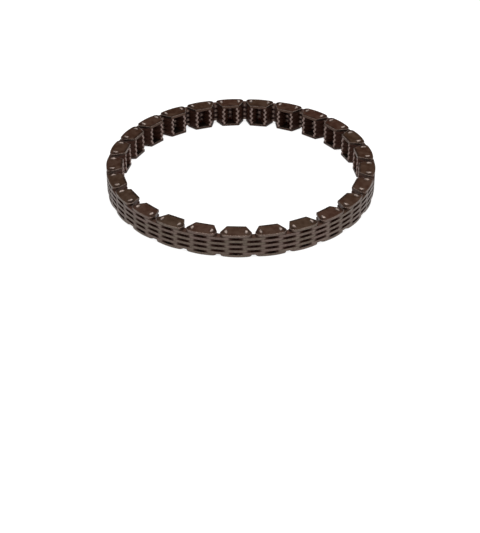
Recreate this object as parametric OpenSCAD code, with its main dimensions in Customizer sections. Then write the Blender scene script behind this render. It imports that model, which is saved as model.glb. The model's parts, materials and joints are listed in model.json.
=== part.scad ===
// Silent timing chain: an endless loop of toothed plates on rocker joints, lying flat as a ring.
// +Z runs along the pins. Guide links and tooth links follow each other round the loop, and
// the first guide link is at -Y. In a link's own frame x runs along the chain and y points
// to the inside of the loop, where the teeth are.

/* [Chain] */
// Distance between neighbouring joints
pitch = 12.7; // [12:0.1:14]
// Links in the loop, guide links and tooth links by turns
link_count = 50; // [42:4:50]

/* [Plates] */
// Thickness of a toothed plate
tooth_plate_t = 2.05; // [1.7:0.05:2.4]
// Thickness of a guide plate
guide_plate_t = 2.05; // [1.7:0.05:2.4]
// Rows of toothed plates between the two guide plates
tooth_rows = 7; // [5:2:9]
// Gap between plates that lie side by side
plate_gap = 0.06; // [0.05:0.01:0.12]

/* [Plate outline] */
// Height of the back's crown from the pin line
back_h = 5.2; // [5:0.1:5.6]
// Radius of the rounded shoulder at each end of a plate
shoulder_r = 3.4; // [3:0.1:3.6]
// Height of the shoulder's centre from the pin line, towards the back
shoulder_h = 1; // [0.7:0.05:1.1]
// Angle of a tooth's flanks from the plate's centre line
flank_angle = 30; // [29:0.5:31]
// Depth of a tooth's tip from the pin line
tip_depth = 8.2; // [7.7:0.1:8.5]
// Radius of a tooth's round tip
tip_r = 1; // [0.8:0.05:1.2]
// Radius at the root of the gap between a plate's two teeth
crotch_r = 2.2; // [1.9:0.05:2.4]
// Depth of a guide plate's straight inner edge from the pin line
guide_depth = 8; // [7.5:0.1:8.3]
// Radius of a guide plate's inner corners
guide_corner_r = 0.6; // [0.4:0.05:1]

/* [Rocker joint] */
// Height of a pin's section, square to the chain's line
pin_h = 4.2; // [3.8:0.1:4.4]
// Radius of a pin's back, about the joint's centre
pin_back_r = 2.3; // [2.25:0.05:2.5]
// Radius of the face on which a pin rolls
roll_r = 7; // [6:0.25:8]
// Gap between the two rolling faces when the joint is straight
roll_gap = 0.2; // [0.18:0.01:0.26]
// Clearance between a pin and the seat that holds it
seat_gap = 0.04; // [0.03:0.01:0.06]
// Clearance round the other link's pin as it rolls in a plate
swing_gap = 0.1; // [0.08:0.01:0.14]
// Height of a long pin's peened end above its guide plate
pin_proud = 0.5; // [0.3:0.05:0.7]
// Reach of the peened end past the pin's own section
peen_lip = 0.15; // [0.08:0.01:0.25]
// Clearance between a rocker's end and the guide plate
rocker_end_gap = 0.06; // [0.05:0.01:0.12]

/* [Hidden] */
$fn = 48;
plate_color = "#4b3c36";
guide_color = "#52433b";
pin_color = "#8f7f7b";

// Rows across the chain, counted from the lower guide plate, which is row 0
top_row = tooth_rows + 1;
row_step = tooth_plate_t + plate_gap;
first_tooth_z = pin_proud + guide_plate_t + plate_gap;
top_guide_z = first_tooth_z + tooth_rows * row_step;
chain_w = top_guide_z + guide_plate_t + pin_proud;
function row_z(row) = row == 0 ? pin_proud : row == top_row ? top_guide_z
    : first_tooth_z + (row - 1) * row_step;

// The loop is a regular polygon with a joint at each corner
link_turn = 360 / link_count;
loop_apothem = pitch / 2 / tan(link_turn / 2);
joint_x = pitch / 2;

// Outline: each flank is a straight line that runs into the round tip and the round shoulder
flank_out = [cos(flank_angle), sin(flank_angle)];
flank_in = [-cos(flank_angle), sin(flank_angle)];
tip_c = [joint_x, tip_depth - tip_r];
flank_reach = tip_c * flank_out + tip_r;
function centre_x(r, y) = (flank_reach - r - y * flank_out[1]) / flank_out[0];
shoulder_c = [centre_x(shoulder_r, -shoulder_h), -shoulder_h];
guide_corner_c = [centre_x(guide_corner_r, guide_depth - guide_corner_r), guide_depth - guide_corner_r];
crotch_c = [0, (flank_in * tip_c + tip_r + crotch_r) / flank_in[1]];

// The back is one arc that runs into both shoulders
shoulder_drop = back_h - shoulder_h;
back_r = (pow(shoulder_c[0], 2) + pow(shoulder_drop, 2) - pow(shoulder_r, 2))
    / (2 * (shoulder_drop - shoulder_r));
back_c = [0, back_r - back_h];
back_end = back_c + (shoulder_c - back_c) * back_r / (back_r - shoulder_r);

// Where a pin's rolling face meets its straight end
roll_c = roll_gap / 2 + roll_r;
face_corner_x = roll_c - sqrt(pow(roll_r, 2) - pow(pin_h / 2, 2));

guide_rows = [0, top_row];
guide_link_rows = [for (row = [2 : 2 : tooth_rows - 1]) row];
tooth_link_rows = [for (row = [1 : 2 : tooth_rows]) row];

function link_name(k) = str(k % 2 == 1 ? "guide_link_" : "tooth_link_", k < 10 ? "0" : "", k);
function plate_name(i) = str("guide_link_tooth_plate_", i + 1);

module on_link(k)
    rotate([0, 0, (k - 1) * link_turn]) translate([0, -loop_apothem, 0]) children();

module both_ends() {
    children();
    mirror([1, 0]) children();
}

// Extrudes each of its shapes by itself, so that they join as solids
module extrude_each(t)
    for (i = [0 : $children - 1]) linear_extrude(t) children(i);

// Section of a pin or rocker, or of its seat when it grows by a clearance
module pin_section(grow = 0)
    translate([joint_x, 0]) intersection() {
        circle(r = pin_back_r + grow);
        translate([roll_c, 0]) circle(r = roll_r + grow);
        square([4 * pin_back_r, pin_h + 2 * grow], center = true);
    }

// Room in a toothed plate for the other link's pin to roll
module swing_section()
    translate([joint_x, 0]) intersection() {
        circle(r = pin_back_r + swing_gap);
        translate([face_corner_x - 4 * pin_back_r, -2 * pin_back_r]) square(4 * pin_back_r);
    }

module back_arc()
    intersection() {
        translate(back_c) circle(r = back_r);
        translate([-back_end[0], -2 * back_h]) square([2 * back_end[0], 2 * back_h + back_end[1]]);
    }

// Polygon through the points of the right half, from the back to the teeth, and their mirror
module mirrored_polygon(half)
    polygon(concat(half, [for (i = [len(half) - 1 : -1 : 0]) [-half[i][0], half[i][1]]]));

module guide_core()
    mirrored_polygon([
        back_end,
        shoulder_c + shoulder_r * flank_out,
        guide_corner_c + guide_corner_r * flank_out,
        guide_corner_c + [0, guide_corner_r]
    ]);

module tooth_core()
    difference() {
        mirrored_polygon([
            back_end,
            shoulder_c + shoulder_r * flank_out,
            tip_c + tip_r * flank_out,
            tip_c + tip_r * flank_in,
            crotch_c - crotch_r * flank_in
        ]);
        translate(crotch_c) circle(r = crotch_r);
    }

module guide_plate(row)
    color(guide_color) translate([0, 0, row_z(row)]) difference() {
        extrude_each(guide_plate_t) {
            guide_core();
            back_arc();
            both_ends() translate(shoulder_c) circle(r = shoulder_r);
            both_ends() translate(guide_corner_c) circle(r = guide_corner_r);
        }
        extrude_each(guide_plate_t) both_ends() pin_section(seat_gap);
    }

module tooth_plate(row)
    color(plate_color) translate([0, 0, row_z(row)]) difference() {
        extrude_each(tooth_plate_t) {
            tooth_core();
            back_arc();
            both_ends() translate(shoulder_c) circle(r = shoulder_r);
            both_ends() translate(tip_c) circle(r = tip_r);
        }
        extrude_each(tooth_plate_t) {
            both_ends() pin_section(seat_gap);
            both_ends() swing_section();
        }
    }

module long_pin(side)
    color(pin_color) mirror([side < 0 ? 1 : 0, 0, 0]) {
        linear_extrude(chain_w) pin_section();
        for (z = [0, chain_w - pin_proud + seat_gap])
            translate([0, 0, z]) linear_extrude(pin_proud - seat_gap) pin_section(peen_lip);
    }

module rocker(side) {
    rocker_z = pin_proud + guide_plate_t + rocker_end_gap;
    color(pin_color) mirror([side < 0 ? 1 : 0, 0, 0])
        translate([0, 0, rocker_z]) linear_extrude(chain_w - 2 * rocker_z) pin_section();
}

module guide_link() {
    for (row = guide_rows) guide_plate(row);
    for (row = guide_link_rows) tooth_plate(row);
    for (side = [-1, 1]) long_pin(side);
}

module tooth_link_plates()
    for (row = tooth_link_rows) tooth_plate(row);

module tooth_link() {
    tooth_link_plates();
    for (side = [-1, 1]) rocker(side);
}

module link(k)
    if (k % 2 == 1) guide_link(); else tooth_link();

// The first guide link and the tooth link beside it, piece by piece
on_link(1) guide_plate(top_row);  // guide_plate_top
on_link(1) guide_plate(0);  // guide_plate_bottom
on_link(1) long_pin(-1);  // long_pin_left
on_link(1) long_pin(1);  // long_pin_right
for (i = [0 : len(guide_link_rows) - 1])
    on_link(1) tooth_plate(guide_link_rows[i]);
on_link(2) tooth_link_plates();
on_link(2) rocker(-1);  // rocker_left
on_link(2) rocker(1);  // rocker_right

// Every other link is one node that holds its own plates and pins as separate solids
for (k = [3 : link_count])
    on_link(k) link(k);
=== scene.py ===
import json
import math
import random

import bpy
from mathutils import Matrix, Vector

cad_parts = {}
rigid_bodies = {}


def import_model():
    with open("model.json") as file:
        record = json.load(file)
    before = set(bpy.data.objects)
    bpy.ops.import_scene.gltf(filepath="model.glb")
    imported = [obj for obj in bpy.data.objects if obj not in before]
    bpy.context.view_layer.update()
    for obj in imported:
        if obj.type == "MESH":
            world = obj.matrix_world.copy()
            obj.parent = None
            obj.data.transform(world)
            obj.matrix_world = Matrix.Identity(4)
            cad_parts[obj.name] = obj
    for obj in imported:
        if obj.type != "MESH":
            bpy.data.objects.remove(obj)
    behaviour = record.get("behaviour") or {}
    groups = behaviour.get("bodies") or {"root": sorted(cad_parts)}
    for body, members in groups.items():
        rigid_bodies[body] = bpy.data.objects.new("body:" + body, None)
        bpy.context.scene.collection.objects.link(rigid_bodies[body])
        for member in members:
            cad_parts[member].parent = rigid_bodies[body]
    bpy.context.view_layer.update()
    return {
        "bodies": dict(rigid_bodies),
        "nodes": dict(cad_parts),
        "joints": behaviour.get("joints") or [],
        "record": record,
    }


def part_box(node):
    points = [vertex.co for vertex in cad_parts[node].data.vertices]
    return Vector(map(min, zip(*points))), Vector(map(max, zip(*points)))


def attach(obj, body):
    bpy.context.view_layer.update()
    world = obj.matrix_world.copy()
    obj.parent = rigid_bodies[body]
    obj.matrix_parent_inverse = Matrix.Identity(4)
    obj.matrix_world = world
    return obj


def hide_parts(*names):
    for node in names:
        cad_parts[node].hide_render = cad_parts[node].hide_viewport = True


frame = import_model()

mm = 0.001
weldReach = 0.001 * mm  # vertices closer than this become one

# the loop, measured from the frame's own joints and nodes
linkCount = len(frame["bodies"])
linkTurn = 2 * math.pi / linkCount
cornerRadius = math.hypot(*frame["joints"][0]["pos_m"][:2]) / mm
jointX = cornerRadius * math.sin(linkTurn / 2)   # from a link's middle to its joint
pinLine = cornerRadius * math.cos(linkTurn / 2)  # from the loop's centre to a link's pin line
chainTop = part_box("long_pin_left")[1].z / mm
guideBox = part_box("guide_plate_bottom")
guideSpan = [guideBox[0].z / mm, guideBox[1].z / mm]
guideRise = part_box("guide_plate_top")[0].z / mm - guideSpan[0]
plateNodes = sorted(name for name in frame["nodes"] if name.startswith("guide_link_tooth_plate"))
guideLinkRows = [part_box(name)[0].z / mm for name in plateNodes]
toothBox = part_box(plateNodes[0])
plateThick = toothBox[1].z / mm - guideLinkRows[0]
rowPair = guideLinkRows[1] - guideLinkRows[0]  # two rows, as a link's own plates take every other one
rowStep = rowPair / 2
toothLinkRows = [guideLinkRows[0] - rowStep + row * rowPair for row in range(len(plateNodes) + 1)]
print("frame loaded:", linkCount, "links, chain", round(chainTop, 2), "mm wide")


# camera
cameraValues = {
    "azimuth": 1.91,         # degrees to the right of straight in front
    "elevation": 31.35,      # degrees above the floor
    "distance": 1.0313,      # metres from the loop's centre
    "aimAzimuth": 1.95,      # the way it looks, which passes below the loop
    "aimElevation": 35.08,
    "lens": 86.98,           # millimetres
    "sensor": 36,            # along the picture's long side
    "nearest": 0.01,         # metres, for what shows
}


def addCamera(values):
    az, el = math.radians(values["azimuth"]), math.radians(values["elevation"])
    data = bpy.data.cameras.new("camera")
    camera = bpy.data.objects.new("camera", data)
    bpy.context.scene.collection.objects.link(camera)
    camera.location = (
        math.sin(az) * math.cos(el) * values["distance"],
        -math.cos(az) * math.cos(el) * values["distance"],
        math.sin(el) * values["distance"],
    )
    tilt = math.radians(90 - values["aimElevation"])
    camera.rotation_euler = (tilt, 0, math.radians(values["aimAzimuth"]))
    data.sensor_width = values["sensor"]
    data.lens = values["lens"]
    data.clip_start = values["nearest"]
    bpy.context.scene.camera = camera


addCamera(cameraValues)
print("camera placed")


# editing by hand, in short
def deselectAll():
    if bpy.context.mode != "OBJECT":
        bpy.ops.object.mode_set(mode="OBJECT")
    bpy.ops.object.select_all(action="DESELECT")


def pickOnly(*pieces):
    deselectAll()
    for piece in pieces:
        piece.select_set(True)
    bpy.context.view_layer.objects.active = pieces[0]


def applyModifiers(piece):
    pickOnly(piece)
    for modifier in list(piece.modifiers):
        bpy.ops.object.modifier_apply(modifier=modifier.name)


def pickFaces(piece, rule):
    pickOnly(piece)
    mesh = piece.data
    for part in (*mesh.vertices, *mesh.edges, *mesh.polygons):
        part.select = False
    for face in mesh.polygons:
        face.select = rule(face)
    bpy.ops.object.mode_set(mode="EDIT")
    bpy.ops.mesh.select_mode(type="FACE")


def copyOf(piece, name):
    copy = piece.copy()
    copy.data = piece.data.copy()
    copy.name = name
    bpy.context.scene.collection.objects.link(copy)
    return copy


def joinAll(pieces, name):
    pickOnly(*pieces)
    bpy.ops.object.join()
    pieces[0].name = name
    return pieces[0]


def moveBy(piece, x, y, z):
    pickOnly(piece)
    bpy.ops.transform.translate(value=(x * mm, y * mm, z * mm))
    bpy.ops.object.transform_apply(location=True, rotation=True, scale=True)


def mirrorAcross(piece, axis, weld):
    pickOnly(piece)
    mirror = piece.modifiers.new("mirror", "MIRROR")
    mirror.use_axis = [letter == axis for letter in "XYZ"]
    mirror.use_mirror_merge = weld
    mirror.merge_threshold = weldReach
    applyModifiers(piece)


def cutWith(piece, cutter):
    cut = piece.modifiers.new("cut", "BOOLEAN")
    cut.operation = "DIFFERENCE"
    cut.solver = "EXACT"
    cut.object = cutter
    applyModifiers(piece)
    bpy.data.objects.remove(cutter)


# an outline is sketched with one vertex, which runs along straight strokes and arcs, in millimetres
def startSketch(name, x, y):
    deselectAll()
    bpy.ops.mesh.primitive_plane_add(size=mm)
    sketch = bpy.context.object
    sketch.name = name
    bpy.ops.object.mode_set(mode="EDIT")
    bpy.ops.mesh.select_mode(type="VERT")
    bpy.ops.mesh.merge(type="CENTER")
    bpy.ops.transform.translate(value=(x * mm, y * mm, 0))
    return {"sketch": sketch, "x": x, "y": y}


def lineTo(pen, x, y):
    step = ((x - pen["x"]) * mm, (y - pen["y"]) * mm, 0)
    bpy.ops.mesh.extrude_region_move(TRANSFORM_OT_translate={"value": step})
    pen["x"], pen["y"] = x, y


def arcRound(pen, centre, degrees, steps):  # anticlockwise where degrees are above 0
    turn = math.radians(degrees)
    centreIn = (centre[0] * mm, centre[1] * mm, 0)
    bpy.ops.mesh.spin(steps=steps, angle=-turn, center=centreIn, axis=(0, 0, 1))
    x, y = pen["x"] - centre[0], pen["y"] - centre[1]
    pen["x"] = centre[0] + x * math.cos(turn) - y * math.sin(turn)
    pen["y"] = centre[1] + x * math.sin(turn) + y * math.cos(turn)


def closeSketch(pen, mirrorAxis, low, high):  # the other half, then a face, then its height
    piece = pen["sketch"]
    bpy.ops.object.mode_set(mode="OBJECT")
    mirrorAcross(piece, mirrorAxis, True)
    bpy.ops.object.mode_set(mode="EDIT")
    bpy.ops.mesh.select_all(action="SELECT")
    bpy.ops.mesh.remove_doubles(threshold=weldReach)
    bpy.ops.mesh.edge_face_add()
    bpy.ops.transform.translate(value=(0, 0, low * mm))
    bpy.ops.mesh.extrude_region_move(TRANSFORM_OT_translate={"value": (0, 0, (high - low) * mm)})
    bpy.ops.mesh.select_all(action="SELECT")
    bpy.ops.mesh.normals_make_consistent(inside=False)
    bpy.ops.object.mode_set(mode="OBJECT")
    return piece


endLean = 0.9  # a face counts as an end where its normal points up or down by at least this


def stepFaces(piece, sides, steps):  # each step insets an end face and raises it
    for side in sides:
        pickFaces(piece, lambda face: face.normal.z * side > endLean)
        for width, rise in steps:
            bpy.ops.mesh.inset(thickness=width * mm, depth=rise * mm)
        bpy.ops.object.mode_set(mode="OBJECT")


def onArc(centre, radius, degrees):
    angle = math.radians(degrees)
    return centre[0] + radius * math.cos(angle), centre[1] + radius * math.sin(angle)


# pins and rockers: one section for both, in millimetres
pinValues = {
    "height": 4.2,
    "backRadius": 2.3,
    "rollRadius": 7,
    "rollGap": 0.2,
    "seatGap": 0.04,       # round a pin in its seat
    "swingGap": 0.1,       # round the other link's pin
    "headLip": 0.15,       # reach of the peened head past the section
    "headGap": 0.04,       # between a head and its guide plate
    "shaftInHead": 0.02,
    "headSteps": [(0.18, 0.18), (0.24, 0.14), (0.16, 0.05)],  # the short ends close up at 0.65 inwards
    "endSteps": [(0.1, 0.06)],
    "cutterReach": 1,      # of a hole's cutter past its plate
    "arcs": {"face": 2, "back": 4, "swing": 4},  # steps; with fewer, a swing would touch the pin at a limit
}
rollCentre = (jointX + pinValues["rollGap"] / 2 + pinValues["rollRadius"], 0)
headHeight = guideSpan[0] - pinValues["headGap"]


def sketchPin(name, grow, low, high):
    half = pinValues["height"] / 2 + grow
    back = pinValues["backRadius"] + grow
    roll = pinValues["rollRadius"] + grow
    faceTurn = math.degrees(math.asin(half / roll))
    backTurn = math.degrees(math.asin(half / back))
    pen = startSketch(name, rollCentre[0] - roll, 0)
    arcRound(pen, rollCentre, -faceTurn, pinValues["arcs"]["face"])
    lineTo(pen, *onArc((jointX, 0), back, backTurn))
    arcRound(pen, (jointX, 0), -backTurn, pinValues["arcs"]["back"])
    return closeSketch(pen, "Y", low, high)


def sketchSwing(name, low, high):  # room for the other link's pin to roll
    radius = pinValues["backRadius"] + pinValues["swingGap"]
    half = pinValues["height"] / 2
    cornerX = rollCentre[0] - math.sqrt(pinValues["rollRadius"] ** 2 - half ** 2)
    cornerAngle = math.degrees(math.acos((cornerX - jointX) / radius))
    pen = startSketch(name, jointX - radius, 0)
    arcRound(pen, (jointX, 0), cornerAngle - 180, pinValues["arcs"]["swing"])
    lineTo(pen, cornerX, 0)
    return closeSketch(pen, "Y", low, high)


def cutPinHoles(piece, low, high, withSwing):
    reach = pinValues["cutterReach"]
    seat = sketchPin("seat", pinValues["seatGap"], low - reach, high + reach)
    mirrorAcross(seat, "X", False)
    cutWith(piece, seat)
    if withSwing:
        swing = sketchSwing("swing", low - reach, high + reach)
        mirrorAcross(swing, "X", False)
        cutWith(piece, swing)


# plates: the outline runs from the middle of the back to the middle of the inner edge
plateValues = {
    "backHeight": -guideBox[0].y / mm - pinLine,
    "shoulderRadius": 3.4,
    "shoulderHeight": 1,
    "flankAngle": 30,
    "tipDepth": toothBox[1].y / mm + pinLine,
    "tipRadius": 1,
    "crotchRadius": 2.2,
    "guideDepth": guideBox[1].y / mm + pinLine,
    "guideCornerRadius": 0.6,
    "guideSteps": [(0.12, 0.07), (0.2, 0.05), (0.2, 0.02), (0.05, 0)],  # rolled-over rim and a flat ring
    "toothSteps": [(0.12, 0.08)],  # on top only: the other rim is as sharp as shears leave it
    "guideArcs": {"back": 7, "shoulder": 8, "corner": 3},  # steps
    "toothArcs": {"back": 3, "shoulder": 4, "tip": 4, "crotch": 2},
}


def plateCentres():
    values = plateValues
    angle = math.radians(values["flankAngle"])
    outX, outY = math.cos(angle), math.sin(angle)
    tip = (jointX, values["tipDepth"] - values["tipRadius"])
    reach = tip[0] * outX + tip[1] * outY + values["tipRadius"]
    shoulderY = -values["shoulderHeight"]
    shoulder = ((reach - values["shoulderRadius"] - shoulderY * outY) / outX, shoulderY)
    cornerY = values["guideDepth"] - values["guideCornerRadius"]
    corner = ((reach - values["guideCornerRadius"] - cornerY * outY) / outX, cornerY)
    crotchY = (-outX * tip[0] + outY * tip[1] + values["tipRadius"] + values["crotchRadius"]) / outY
    drop = values["backHeight"] - values["shoulderHeight"]
    radius = values["shoulderRadius"]
    backRadius = (shoulder[0] ** 2 + drop ** 2 - radius ** 2) / (2 * (drop - radius))
    back = (0, backRadius - values["backHeight"])
    return {"tip": tip, "shoulder": shoulder, "corner": corner, "crotch": (0, crotchY), "back": back}


def sketchBack(name, arcs):
    spots = plateCentres()
    shoulder, back = spots["shoulder"], spots["back"]
    backTurn = math.degrees(math.atan2(shoulder[0], back[1] - shoulder[1]))
    pen = startSketch(name, 0, -plateValues["backHeight"])
    arcRound(pen, back, backTurn, arcs["back"])
    arcRound(pen, shoulder, 90 + plateValues["flankAngle"] - backTurn, arcs["shoulder"])
    return pen, spots


def shortHeight(low, high, steps):  # the part of a plate's height between its rolled rims
    rise = sum(step[1] for step in steps)
    return low + rise, high - rise


def modelGuidePlate(name, low, high):
    arcs = plateValues["guideArcs"]
    pen, spots = sketchBack(name, arcs)
    flank = plateValues["flankAngle"]
    radius = plateValues["guideCornerRadius"]
    lineTo(pen, *onArc(spots["corner"], radius, flank))
    arcRound(pen, spots["corner"], 90 - flank, arcs["corner"])
    lineTo(pen, 0, plateValues["guideDepth"])
    steps = plateValues["guideSteps"]
    plate = closeSketch(pen, "X", *shortHeight(low, high, steps))
    stepFaces(plate, (1, -1), steps)
    cutPinHoles(plate, low, high, False)
    return plate


def modelToothPlate(name, low, high):  # few faces, because 175 plates are copies of it
    arcs = plateValues["toothArcs"]
    pen, spots = sketchBack(name, arcs)
    flank = plateValues["flankAngle"]
    lineTo(pen, *onArc(spots["tip"], plateValues["tipRadius"], flank))
    arcRound(pen, spots["tip"], 180 - 2 * flank, arcs["tip"])
    lineTo(pen, *onArc(spots["crotch"], plateValues["crotchRadius"], -flank))
    arcRound(pen, spots["crotch"], flank - 90, arcs["crotch"])
    steps = plateValues["toothSteps"]
    plate = closeSketch(pen, "X", low, shortHeight(low, high, steps)[1])
    stepFaces(plate, (1,), steps)
    cutPinHoles(plate, low, high, True)
    return plate


def modelPin(name, low, high, headed):
    if not headed:
        steps = pinValues["endSteps"]
        rocker = sketchPin(name, 0, *shortHeight(low, high, steps))
        stepFaces(rocker, (1, -1), steps)
        return rocker
    steps, lip = pinValues["headSteps"], pinValues["headLip"]
    shaftEnd = headHeight - pinValues["shaftInHead"]
    domeLow, domeHigh = shortHeight(low, high, steps)
    shaft = sketchPin(name, 0, low + shaftEnd, high - shaftEnd)
    upper = sketchPin("upperHead", lip, high - headHeight, domeHigh)
    stepFaces(upper, (1,), steps)
    lower = sketchPin("lowerHead", lip, domeLow, low + headHeight)
    stepFaces(lower, (-1,), steps)
    return joinAll([shaft, upper, lower], name)


# a face's material goes by how level it lies, where 0 is an upright wall and 1 is flat
wallLimit = 0.3
plateLimit = 0.985
headLimit = 0.9
smoothBelow = 32  # degrees between two faces that shade as one


def dressPiece(piece, flatLimit, *materials):  # for its flat faces, its wall and the rim between them
    for material in materials:
        piece.data.materials.append(bpy.data.materials[material])
    for face in piece.data.polygons:
        lean = abs(face.normal.z)
        face.material_index = 1 if lean < wallLimit else 2 if lean < flatLimit else 0


def markSpots(piece):  # for the materials: where a point lies in its plate, and room for the plate's lot
    mesh = piece.data
    spots = mesh.attributes.new("plateSpot", "FLOAT_VECTOR", "POINT")
    for vertex, item in zip(mesh.vertices, spots.data):
        item.vector = vertex.co / mm
    mesh.attributes.new("plateLot", "FLOAT", "POINT")


def finishMaster(piece):
    pickOnly(piece)
    bpy.ops.object.shade_smooth_by_angle(angle=math.radians(smoothBelow))
    piece.modifiers.new("weights", "WEIGHTED_NORMAL").keep_sharp = True
    applyModifiers(piece)
    markSpots(piece)
    moveBy(piece, 0, -pinLine, 0)


# materials, from shader groups that several of them share
def makeNode(tree, kind, values=None, **settings):
    made = tree.nodes.new(kind)
    for name, value in settings.items():
        setattr(made, name, value)
    for name, value in (values or {}).items():
        if isinstance(value, bpy.types.NodeSocket):
            tree.links.new(value, made.inputs[name])
        else:
            made.inputs[name].default_value = value
    return made


def blendColours(tree, mask, first, second):  # a colour Mix node takes its colours on sockets 6 and 7
    return makeNode(tree, "ShaderNodeMix", {0: mask, 6: first, 7: second}, data_type="RGBA").outputs[2]


def mathOf(tree, operation, *values):
    return makeNode(tree, "ShaderNodeMath", dict(enumerate(values)), operation=operation).outputs[0]


def maskBetween(tree, value, low, high, toLow=0.0, toHigh=1.0):
    made = makeNode(tree, "ShaderNodeMapRange", {"Value": value, "From Min": low, "From Max": high,
                                                 "To Min": toLow, "To Max": toHigh})
    return made.outputs["Result"]


def newGroup(name, inputs, outputs):
    group = bpy.data.node_groups.new(name, "ShaderNodeTree")
    for label, kind, value in inputs:
        socket = group.interface.new_socket(label, in_out="INPUT", socket_type=kind)
        if value is not None:
            socket.default_value = value
    for label, kind in outputs:
        group.interface.new_socket(label, in_out="OUTPUT", socket_type=kind)
    entry = group.nodes.new("NodeGroupInput").outputs
    leave = group.nodes.new("NodeGroupOutput").inputs
    return group, entry, leave


def useGroup(tree, name, values):
    return makeNode(tree, "ShaderNodeGroup", values, node_tree=bpy.data.node_groups[name]).outputs


colourSocket, floatSocket, vectorSocket = "NodeSocketColor", "NodeSocketFloat", "NodeSocketVector"
noiseValues = {
    "lotReach": 40.0,    # how far apart two lots' patterns can lie
    "roughness": 0.6,
}


def stretchedNoise(tree, spot, lot, stretch, detail):
    scaled = makeNode(tree, "ShaderNodeVectorMath", {0: spot, 1: stretch}, operation="MULTIPLY")
    shift = mathOf(tree, "MULTIPLY", lot, noiseValues["lotReach"])
    noise = makeNode(tree, "ShaderNodeTexNoise", {
        "Vector": scaled.outputs[0], "W": shift, "Scale": 1.0, "Detail": detail,
        "Roughness": noiseValues["roughness"],
    }, noise_dimensions="4D")
    return noise.outputs["Fac"]


def shareOf(tree, value, share):
    return mathOf(tree, "MULTIPLY", value, share)


def makePlateSpotGroup():
    group, _, leave = newGroup("plateSpace", [], [("Spot", vectorSocket), ("Lot", floatSocket)])
    spot = makeNode(group, "ShaderNodeAttribute", attribute_name="plateSpot")
    lot = makeNode(group, "ShaderNodeAttribute", attribute_name="plateLot")
    group.links.new(spot.outputs["Vector"], leave["Spot"])
    group.links.new(lot.outputs["Fac"], leave["Lot"])


mottleValues = {
    "cloudDetail": 4.0,
    "cloudRange": (0.4, 0.6),    # of the noise, from dark to light
    "speckScale": (6.0, 6.0, 6.0),
    "speckDetail": 2.0,
    "speckRange": (0.45, 0.75),
    "speckShare": 0.25,
    "cloudHeight": 0.7,
    "speckHeight": 0.3,
}


def makeMottleGroup(values):
    group, entry, leave = newGroup("oxideMottle", [
        ("Spot", vectorSocket, None), ("Lot", floatSocket, 0.0), ("Size", floatSocket, 3.0),
        ("Dark", colourSocket, (0.03, 0.018, 0.013, 1)), ("Light", colourSocket, (0.07, 0.045, 0.035, 1)),
        ("Olive", colourSocket, (0.05, 0.04, 0.02, 1)), ("Red", colourSocket, (0.07, 0.03, 0.02, 1)),
        ("Tint", floatSocket, 0.5),
    ], [("Color", colourSocket), ("Mask", floatSocket)])
    density = mathOf(group, "DIVIDE", 1.0, entry["Size"])
    stretch = makeNode(group, "ShaderNodeCombineXYZ", {0: density, 1: density, 2: density})
    cloud = stretchedNoise(group, entry["Spot"], entry["Lot"], stretch.outputs[0], values["cloudDetail"])
    speck = stretchedNoise(group, entry["Spot"], entry["Lot"], values["speckScale"], values["speckDetail"])
    cloudMask = maskBetween(group, cloud, *values["cloudRange"])
    speckMask = maskBetween(group, speck, *values["speckRange"])
    base = blendColours(group, cloudMask, entry["Dark"], entry["Light"])
    hue = blendColours(group, entry["Lot"], entry["Olive"], entry["Red"])
    tinted = blendColours(group, entry["Tint"], base, hue)
    specked = blendColours(group, shareOf(group, speckMask, values["speckShare"]), tinted, entry["Light"])
    cloudPart = shareOf(group, cloudMask, values["cloudHeight"])
    speckPart = shareOf(group, speckMask, values["speckHeight"])
    group.links.new(specked, leave["Color"])
    group.links.new(mathOf(group, "ADD", cloudPart, speckPart), leave["Mask"])


streakDetail = 3.0


def makeStreakGroup():
    group, entry, leave = newGroup("millStreaks", [
        ("Spot", vectorSocket, None), ("Lot", floatSocket, 0.0), ("Stretch", vectorSocket, (0.3, 6.0, 6.0)),
        ("Low", floatSocket, 0.35), ("High", floatSocket, 0.7),
    ], [("Mask", floatSocket)])
    noise = stretchedNoise(group, entry["Spot"], entry["Lot"], entry["Stretch"], streakDetail)
    group.links.new(maskBetween(group, noise, entry["Low"], entry["High"]), leave["Mask"])


wearValues = {
    "patchScale": (0.5, 0.5, 0.5),
    "patchDetail": 3.0,
    "patchShare": 0.6,
    "nickScale": (2.5, 2.5, 2.5),
    "nickDetail": 2.0,
    "nickShare": 0.4,
    "unwornFrom": 0.85,     # of the noise, where the amount is 0
    "amountReach": 0.7,
    "softness": 0.2,
}


def makeWearGroup(values):
    group, entry, leave = newGroup("edgeWear", [
        ("Spot", vectorSocket, None), ("Lot", floatSocket, 0.0), ("Amount", floatSocket, 0.5),
    ], [("Mask", floatSocket)])
    patch = stretchedNoise(group, entry["Spot"], entry["Lot"], values["patchScale"], values["patchDetail"])
    nick = stretchedNoise(group, entry["Spot"], entry["Lot"], values["nickScale"], values["nickDetail"])
    patchPart = shareOf(group, patch, values["patchShare"])
    nickPart = shareOf(group, nick, values["nickShare"])
    both = mathOf(group, "ADD", patchPart, nickPart)
    reach = shareOf(group, entry["Amount"], values["amountReach"])
    start = mathOf(group, "SUBTRACT", values["unwornFrom"], reach)
    worn = maskBetween(group, both, start, mathOf(group, "ADD", start, values["softness"]))
    group.links.new(worn, leave["Mask"])


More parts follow.
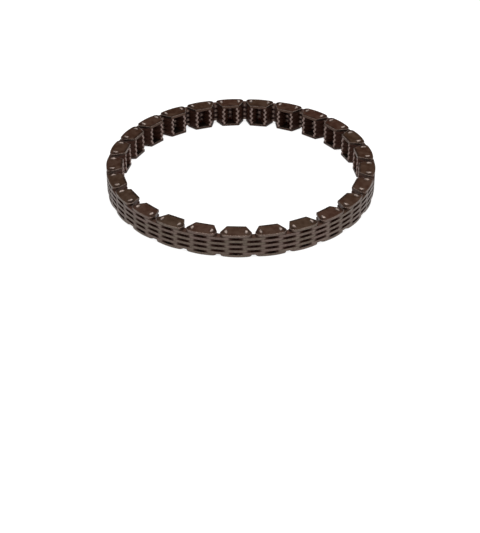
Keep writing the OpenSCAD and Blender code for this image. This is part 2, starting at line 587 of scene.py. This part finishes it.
# each zone's mask rises from 0 at its first number to 1 at its second, in millimetres on the plate,
# and one marked as falling drops from 1 to 0
zoneValues = {
    "ends": (-1.0, 0.5),           # past the end reach
    "inside": (-0.6, 1.0),         # from the pin line towards the teeth
    "tips": (0.9, 0.35),           # from the tip of a tooth
    "crotchDeep": (-1.0, 0.0),
    "crotchShallow": (0.8, 1.8),   # falling
    "crotchWide": (0.9, 2.0),      # from the plate's middle, falling
    "low": (0.2, 0.9),             # share of the chain's width, falling; where the lower guide plate's inner edge gets painted shade
    "aboveGuide": (0.06, 0.1),     # share of the chain's width
    "underGuide": (0.8, 0.84),     # share of the chain's width, falling
    "nearBack": (-2.5, -1.0),      # falling
}


def makeZoneGroup(values):
    group, entry, leave = newGroup("wallZones", [
        ("Spot", vectorSocket, None), ("Tip Depth", floatSocket, 8.0), ("End Reach", floatSocket, 8.0),
        ("Top", floatSocket, 20.0),
    ], [("Ends", floatSocket), ("Inside", floatSocket), ("Tips", floatSocket), ("Crotch", floatSocket),
        ("Low", floatSocket), ("Buried", floatSocket)])
    place = makeNode(group, "ShaderNodeSeparateXYZ", {0: entry["Spot"]}).outputs
    side = mathOf(group, "ABSOLUTE", place["X"])
    fromTip = mathOf(group, "SUBTRACT", entry["Tip Depth"], place["Y"])
    pastEnd = mathOf(group, "SUBTRACT", side, entry["End Reach"])
    height = mathOf(group, "DIVIDE", place["Z"], entry["Top"])
    group.links.new(maskBetween(group, pastEnd, *values["ends"]), leave["Ends"])
    group.links.new(maskBetween(group, place["Y"], *values["inside"]), leave["Inside"])
    group.links.new(maskBetween(group, fromTip, *values["tips"]), leave["Tips"])
    # the crotch's hollow, for a painted highlight
    deep = maskBetween(group, place["Y"], *values["crotchDeep"])
    shallow = maskBetween(group, place["Y"], *values["crotchShallow"], 1.0, 0.0)
    narrow = maskBetween(group, side, *values["crotchWide"], 1.0, 0.0)
    crotch = mathOf(group, "MULTIPLY", deep, mathOf(group, "MULTIPLY", narrow, shallow))
    group.links.new(crotch, leave["Crotch"])
    group.links.new(maskBetween(group, height, *values["low"], 1.0, 0.0), leave["Low"])
    # Buried: the faces between two rows, near their backs, which the materials give painted shade
    above = maskBetween(group, height, *values["aboveGuide"])
    under = maskBetween(group, height, *values["underGuide"], 1.0, 0.0)
    between = mathOf(group, "MULTIPLY", above, under)
    nearBack = maskBetween(group, place["Y"], *values["nearBack"], 1.0, 0.0)
    group.links.new(mathOf(group, "MULTIPLY", between, nearBack), leave["Buried"])


makePlateSpotGroup()
makeMottleGroup(mottleValues)
makeStreakGroup()
makeWearGroup(wearValues)
makeZoneGroup(zoneValues)


def newMaterial(name, viewColour):
    material = bpy.data.materials.new(name)
    material.use_nodes = True
    material.diffuse_color = (*viewColour, 1)
    tree = material.node_tree
    shader = tree.nodes["Principled BSDF"]
    space = useGroup(tree, "plateSpace", {})
    return tree, shader, {"Spot": space["Spot"], "Lot": space["Lot"]}


def linkTo(tree, shader, sockets):
    for name, value in sockets.items():
        tree.links.new(value, shader.inputs[name])


def addBump(tree, shader, height, bump):
    made = makeNode(tree, "ShaderNodeBump", {
        "Height": height, "Strength": bump["strength"], "Distance": bump["depth"] * mm})
    tree.links.new(made.outputs["Normal"], shader.inputs["Normal"])


def useMottle(tree, space, values):
    return useGroup(tree, "oxideMottle", {
        **space, "Size": values["cloudSize"], "Dark": values["dark"], "Light": values["light"],
        "Olive": values["olive"], "Red": values["red"], "Tint": values["tint"]})


oxideValues = {
    "dark": (0.024, 0.016, 0.013, 1),
    "light": (0.060, 0.040, 0.031, 1),
    "olive": (0.046, 0.038, 0.025, 1),
    "red": (0.058, 0.031, 0.025, 1),
    "tint": 0.4,
    "cloudSize": 4.5,       # millimetres
    "rubbed": (0.10, 0.075, 0.064, 1),
    "edgeShade": (0.022, 0.018, 0.016, 1),  # along the inner edge and the flanks
    "edgeBand": 1.2,        # millimetres
    "edgeReach": 9.0,       # from the plate's middle to the flanks' band
    "edgeFade": 0.8,        # of the mottle, where its share has dropped from the first number to the second
    "edgeShares": (0.9, 0.3),
    "edgeTint": (0.35, 0.22, 0.17, 1),  # of what shows at a grazing angle
    "gapShadeShare": 0.9,          # share of painted shade on the faces between two rows, near their backs, where the plate above shades them
    "buriedShade": (0.043, 0.031, 0.031, 1),
    "streaks": {"Stretch": (0.25, 5.0, 5.0), "Low": 0.4, "High": 0.75},
    "streakShare": 0.18,
    "streakHeight": 0.5,
    "bump": {"strength": 0.35, "depth": 0.02},
    "specular": 0.1,
    "metallic": 1.0,
    "roughness": (0.42, 0.58),
}
stackedValues = {  # the toothed plates' faces, which lie between others
    **oxideValues,
    "dark": (0.036, 0.019, 0.013, 1),
    "light": (0.062, 0.036, 0.027, 1),
    "olive": (0.050, 0.032, 0.021, 1),
    "red": (0.060, 0.029, 0.022, 1),
    "rubbed": (0.075, 0.050, 0.040, 1),
    "edgeShade": (0.044, 0.021, 0.014, 1),
    "buriedShade": (0.036, 0.013, 0.008, 1),
    "metallic": 0.6,
}


def makeOxideFace(name, values):
    tree, shader, space = newMaterial(name, values["light"][:3])
    mottle = useMottle(tree, space, values)
    streaks = useGroup(tree, "millStreaks", {**space, **values["streaks"]})
    zones = useGroup(tree, "wallZones", {
        "Spot": space["Spot"], "Tip Depth": plateValues["guideDepth"] - values["edgeBand"],
        "End Reach": values["edgeReach"], "Top": chainTop})
    rubbed = shareOf(tree, streaks["Mask"], values["streakShare"])
    colour = blendColours(tree, rubbed, mottle["Color"], values["rubbed"])
    shaded = mathOf(tree, "MAXIMUM", zones["Tips"], zones["Ends"])
    uneven = maskBetween(tree, mottle["Mask"], 0, values["edgeFade"], *values["edgeShares"])
    colour = blendColours(tree, mathOf(tree, "MULTIPLY", shaded, uneven), colour, values["edgeShade"])
    # painted shade on the faces between two rows, near their backs
    gapShadeShare = shareOf(tree, zones["Buried"], values["gapShadeShare"])
    colour = blendColours(tree, gapShadeShare, colour, values["buriedShade"])
    rough = maskBetween(tree, mottle["Mask"], 0, 1, *values["roughness"])
    linkTo(tree, shader, {"Base Color": colour, "Roughness": rough})
    shader.inputs["Metallic"].default_value = values["metallic"]
    shader.inputs["Specular Tint"].default_value = values["edgeTint"]
    shader.inputs["Specular IOR Level"].default_value = values["specular"]
    height = mathOf(tree, "ADD", mottle["Mask"], shareOf(tree, streaks["Mask"], values["streakHeight"]))
    addBump(tree, shader, height, values["bump"])


toothWallValues = {
    "dark": (0.058, 0.041, 0.033, 1),
    "light": (0.117, 0.086, 0.072, 1),
    "olive": (0.086, 0.075, 0.053, 1),
    "red": (0.106, 0.071, 0.064, 1),
    "tint": 0.45,
    "cloudSize": 2.5,
    "rubbed": (0.20, 0.155, 0.135, 1),
    "insideShade": (0.036, 0.014, 0.009, 1),    # painted shade on the inside, teeth included, where the plates lie in each other's shadow
    # painted shade on the ends of the outer walls, which lie behind the next link's plates
    "ends": (0.022, 0.009, 0.006, 1),
    "shadedMetallic": 0.35,
    "streaks": {"Stretch": (5.0, 5.0, 0.4), "Low": 0.42, "High": 0.8},
    "streakShare": 0.6,
    "mottleHeight": 0.5,
    "bump": {"strength": 0.4, "depth": 0.03},
    "specular": 0.1,
    # the tooth tips: lighter as worn steel, and a painted highlight where they catch the light
    "tip": (0.19, 0.138, 0.122, 1),
    # a painted highlight in the crotch's hollow
    "crotch": (0.125, 0.088, 0.074, 1),
    "endReach": 8.4,       # millimetres from the plate's middle
    "lowShade": 0.0,
    "metallic": 0.95,
    "roughness": (0.38, 0.55),
}
guideWallValues = {
    **toothWallValues,
    # painted shade on the guide plates' walls on the inside
    "insideShade": (0.040, 0.025, 0.020, 1),
    # painted shade, lighter, on the guide plates' ends, in the gaps between them
    "ends": (0.078, 0.050, 0.039, 1),
    "shadedMetallic": 0.95,
    "tip": (0.058, 0.035, 0.026, 1),
    "crotch": (0.088, 0.061, 0.050, 1),
    "endReach": 10.0,
    "lowShade": 0.75,      # how much darker the lower guide plate's inner edge is, as painted shade
}


def makeShearedWall(name, values):
    tree, shader, space = newMaterial(name, values["light"][:3])
    mottle = useMottle(tree, space, values)
    streaks = useGroup(tree, "millStreaks", {**space, **values["streaks"]})
    zones = useGroup(tree, "wallZones", {
        "Spot": space["Spot"], "Tip Depth": plateValues["tipDepth"], "End Reach": values["endReach"],
        "Top": chainTop})
    rubbed = shareOf(tree, streaks["Mask"], values["streakShare"])
    worn = blendColours(tree, rubbed, mottle["Color"], values["rubbed"])
    # where the walls get painted shade: on the inside, and at the ends that lie behind the next link's
    # plates
    shadedZones = mathOf(tree, "MAXIMUM", zones["Ends"], zones["Inside"])
    # painted shade on the inside of the loop
    colour = blendColours(tree, zones["Inside"], worn, values["insideShade"])
    # painted shade on the outer walls' ends
    outer = mathOf(tree, "MULTIPLY", zones["Ends"], mathOf(tree, "SUBTRACT", 1.0, zones["Inside"]))
    colour = blendColours(tree, outer, colour, values["ends"])
    # painted highlight in the crotch's hollow
    colour = blendColours(tree, zones["Crotch"], colour, values["crotch"])
    # less of the tips' colour on the lower guide plate's inner edge: painted shade
    unshadedShare = mathOf(tree, "SUBTRACT", 1.0, shareOf(tree, zones["Low"], values["lowShade"]))
    # painted highlight on the tooth tips, which are also worn
    colour = blendColours(tree, mathOf(tree, "MULTIPLY", zones["Tips"], unshadedShare), colour, values["tip"])
    metal = maskBetween(tree, shadedZones, 0, 1, values["metallic"], values["shadedMetallic"])
    # full metal where the tips are worn and where the crotches get their painted highlight
    wearAndHighlights = mathOf(tree, "MAXIMUM", zones["Tips"], zones["Crotch"])
    metal = mathOf(tree, "MAXIMUM", metal, shareOf(tree, wearAndHighlights, values["metallic"]))
    rough = maskBetween(tree, mottle["Mask"], 0, 1, *values["roughness"])
    linkTo(tree, shader, {"Base Color": colour, "Roughness": rough, "Metallic": metal})
    shader.inputs["Specular IOR Level"].default_value = values["specular"]
    height = mathOf(tree, "ADD", streaks["Mask"], shareOf(tree, mottle["Mask"], values["mottleHeight"]))
    addBump(tree, shader, height, values["bump"])


guideRimValues = {
    "dull": (0.046, 0.030, 0.023, 1),
    "worn": (0.195, 0.148, 0.126, 1),
    "amount": 0.6,          # of the rim that is worn
    "bump": {"strength": 0.3, "depth": 0.02},
    "metallic": 0.95,
    "roughness": (0.5, 0.3),
}
toothRimValues = {
    **guideRimValues,
    "dull": (0.022, 0.013, 0.010, 1),
    "worn": (0.11, 0.082, 0.070, 1),
    "amount": 0.45,
}


def makeRolledRim(name, values):
    tree, shader, space = newMaterial(name, values["worn"][:3])
    wear = useGroup(tree, "edgeWear", {**space, "Amount": values["amount"]})
    colour = blendColours(tree, wear["Mask"], values["dull"], values["worn"])
    rough = maskBetween(tree, wear["Mask"], 0, 1, *values["roughness"])
    linkTo(tree, shader, {"Base Color": colour, "Roughness": rough})
    shader.inputs["Metallic"].default_value = values["metallic"]
    addBump(tree, shader, wear["Mask"], values["bump"])


pinSteelValues = {
    "pinEnd": {"dull": (0.085, 0.060, 0.050, 1), "bright": (0.50, 0.40, 0.345, 1)},
    "pinRim": {"dull": (0.050, 0.034, 0.028, 1), "bright": (0.15, 0.115, 0.098, 1)},
    # the pins' sides: partly the steel's own darker colour, partly painted shade beside the heads and in
    # the holes
    "pinSide": {"dull": (0.034, 0.018, 0.013, 1), "bright": (0.052, 0.034, 0.027, 1)},
    "amount": 0.6,
    "streaks": {"Stretch": (7.0, 7.0, 0.5), "Low": 0.3, "High": 0.8},
    "streakShades": (0.7, 1.0),
    "bump": {"strength": 0.3, "depth": 0.01},
    "metallic": 1.0,
    "roughness": (0.42, 0.3),
}


def makePinSteel(values, name):
    tree, shader, space = newMaterial(name, values[name]["bright"][:3])
    wear = useGroup(tree, "edgeWear", {**space, "Amount": values["amount"]})
    streaks = useGroup(tree, "millStreaks", {**space, **values["streaks"]})
    streakShade = maskBetween(tree, streaks["Mask"], 0, 1, *values["streakShades"])
    shade = mathOf(tree, "MULTIPLY", wear["Mask"], streakShade)
    colour = blendColours(tree, shade, values[name]["dull"], values[name]["bright"])
    rough = maskBetween(tree, shade, 0, 1, *values["roughness"])
    linkTo(tree, shader, {"Base Color": colour, "Roughness": rough})
    shader.inputs["Metallic"].default_value = values["metallic"]
    addBump(tree, shader, streaks["Mask"], values["bump"])


makeOxideFace("oxideFace", oxideValues)
makeOxideFace("stackedFace", stackedValues)
makeShearedWall("toothWall", toothWallValues)
makeShearedWall("guideWall", guideWallValues)
makeRolledRim("guideRim", guideRimValues)
makeRolledRim("toothRim", toothRimValues)
for name in ("pinEnd", "pinRim", "pinSide"):
    makePinSteel(pinSteelValues, name)
print("materials made:", len(bpy.data.materials))


# one of each piece, then the sets that one link of either kind holds
def stackRows(master, name, rises):
    copies = [copyOf(master, f"{name}{row}") for row in range(len(rises))]
    for copy, rise in zip(copies, rises):
        moveBy(copy, 0, 0, rise)
        for item in copy.data.attributes["plateSpot"].data:
            item.vector.z += rise
    bpy.data.objects.remove(master)
    return joinAll(copies, name)


def makeSets():
    guide = modelGuidePlate("guidePlate", *guideSpan)
    dressPiece(guide, plateLimit, "oxideFace", "guideWall", "guideRim")
    finishMaster(guide)
    guides = stackRows(guide, "guideSet", [0, guideRise])
    tooth = modelToothPlate("toothPlate", 0, plateThick)
    dressPiece(tooth, plateLimit, "stackedFace", "toothWall", "toothRim")
    finishMaster(tooth)
    inner = stackRows(copyOf(tooth, "innerPlate"), "innerSet", guideLinkRows)
    outer = stackRows(tooth, "outerSet", toothLinkRows)
    rockerSpan = [side.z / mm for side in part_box("rocker_left")]
    pins = modelPin("longPin", 0, chainTop, True)
    rockers = modelPin("rocker", *rockerSpan, False)
    for pair in (pins, rockers):
        dressPiece(pair, headLimit, "pinEnd", "pinSide", "pinRim")
        mirrorAcross(pair, "X", False)
        finishMaster(pair)
    return {"guides": guides, "inner": inner, "outer": outer, "pins": pins, "rockers": rockers}


sets = makeSets()
print("plates and pins modelled:", {name: len(piece.data.polygons) for name, piece in sets.items()})


# every link: a copy of each of its sets, turned into place round the loop
rowSlack = 0.01  # so that a plate's lowest vertices count in its own row


def giveLots(piece, draw):  # a number for each row, so that no two plates show the same pattern
    mesh = piece.data
    lots = {}
    for vertex, item in zip(mesh.vertices, mesh.attributes["plateLot"].data):
        row = math.floor((vertex.co.z / mm - guideSpan[0]) / rowStep + rowSlack)
        item.value = lots.setdefault(row, draw.random())


def placeSet(master, name, number, word, draw):
    piece = copyOf(master, f"{name}_{number:02d}")
    giveLots(piece, draw)
    pickOnly(piece)
    piece.rotation_euler = (0, 0, (number - 1) * linkTurn)
    bpy.ops.object.transform_apply(location=True, rotation=True, scale=True)
    body = f"link_{number:02d}"
    own = frame["record"]["behaviour"]["bodies"][body]
    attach(piece, body)
    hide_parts(*([node for node in own if word in node] or own))


for number in range(1, linkCount + 1):
    draw = random.Random(number)
    if number % 2:
        placeSet(sets["guides"], "guide_plates", number, "guide_plate", draw)
        placeSet(sets["inner"], "tooth_plates", number, "tooth_plate", draw)
        placeSet(sets["pins"], "long_pins", number, "long_pin", draw)
    else:
        placeSet(sets["outer"], "tooth_plates", number, "plates", draw)
        placeSet(sets["rockers"], "rocker_pair", number, "rocker", draw)
for master in sets.values():
    bpy.data.objects.remove(master)
print("links placed:", linkCount)


# floor, background and lamps
stageValues = {
    "floorSize": 12,          # metres
    "floorColour": (0.3, 0.3, 0.3, 1),
    "floorRoughness": 0.9,
    "floorGlow": 0.8,         # seen by the camera and by reflections, so that the floor is white
    "worldColour": (1, 1, 1, 1),
    "worldLight": 0.55,
    "lamps": [
        {"place": (-0.55, -0.75, 0.95), "size": 0.9, "power": 6},
        {"place": (0.75, -0.35, 0.85), "size": 0.8, "power": 3},
        {"place": (0.1, 0.9, 0.9), "size": 0.9, "power": 2.5},
        {"place": (1.1, -0.5, 0.22), "size": 0.5, "power": 9},
        {"place": (-1.1, -0.5, 0.22), "size": 0.5, "power": 5},
        {"place": (0, -0.1, 1.25), "size": 0.3, "power": 5},
    ],
}


def seenRays(tree):  # 1 for the camera's own rays and for what metal shows of the background
    path = makeNode(tree, "ShaderNodeLightPath").outputs
    some = mathOf(tree, "MAXIMUM", path["Is Camera Ray"], path["Is Glossy Ray"])
    return mathOf(tree, "MAXIMUM", some, path["Is Transmission Ray"])


def makeFloor(values):
    deselectAll()
    bpy.ops.mesh.primitive_plane_add(size=values["floorSize"])
    floor = bpy.context.object
    floor.name = "floor"
    material = bpy.data.materials.new("paleFloor")
    material.use_nodes = True
    tree = material.node_tree
    shader = tree.nodes["Principled BSDF"]
    shader.inputs["Base Color"].default_value = values["floorColour"]
    shader.inputs["Roughness"].default_value = values["floorRoughness"]
    shader.inputs["Specular IOR Level"].default_value = 0
    shader.inputs["Emission Color"].default_value = (1, 1, 1, 1)
    glow = mathOf(tree, "MULTIPLY", seenRays(tree), values["floorGlow"])
    tree.links.new(glow, shader.inputs["Emission Strength"])
    floor.data.materials.append(material)


def makeWorld(values):
    world = bpy.data.worlds.new("paleRoom")
    bpy.context.scene.world = world
    world.use_nodes = True
    tree = world.node_tree
    light = tree.nodes["Background"]
    light.inputs["Color"].default_value = values["worldColour"]
    light.inputs["Strength"].default_value = values["worldLight"]
    seen = makeNode(tree, "ShaderNodeBackground", {"Color": values["worldColour"], "Strength": 1.0})
    mix = makeNode(tree, "ShaderNodeMixShader", {
        0: seenRays(tree), 1: light.outputs[0], 2: seen.outputs[0]})
    tree.links.new(mix.outputs[0], tree.nodes["World Output"].inputs["Surface"])


def makeLamps(values):
    for index, lamp in enumerate(values["lamps"]):
        data = bpy.data.lights.new(f"softLamp{index + 1}", "AREA")
        data.size = lamp["size"]
        data.energy = lamp["power"]
        light = bpy.data.objects.new(data.name, data)
        bpy.context.scene.collection.objects.link(light)
        light.location = lamp["place"]
        light.rotation_euler = (-light.location).to_track_quat("-Z", "Y").to_euler()


makeFloor(stageValues)
makeWorld(stageValues)
makeLamps(stageValues)
bpy.context.scene.view_settings.view_transform = "Standard"
print("floor, world and lamps made")
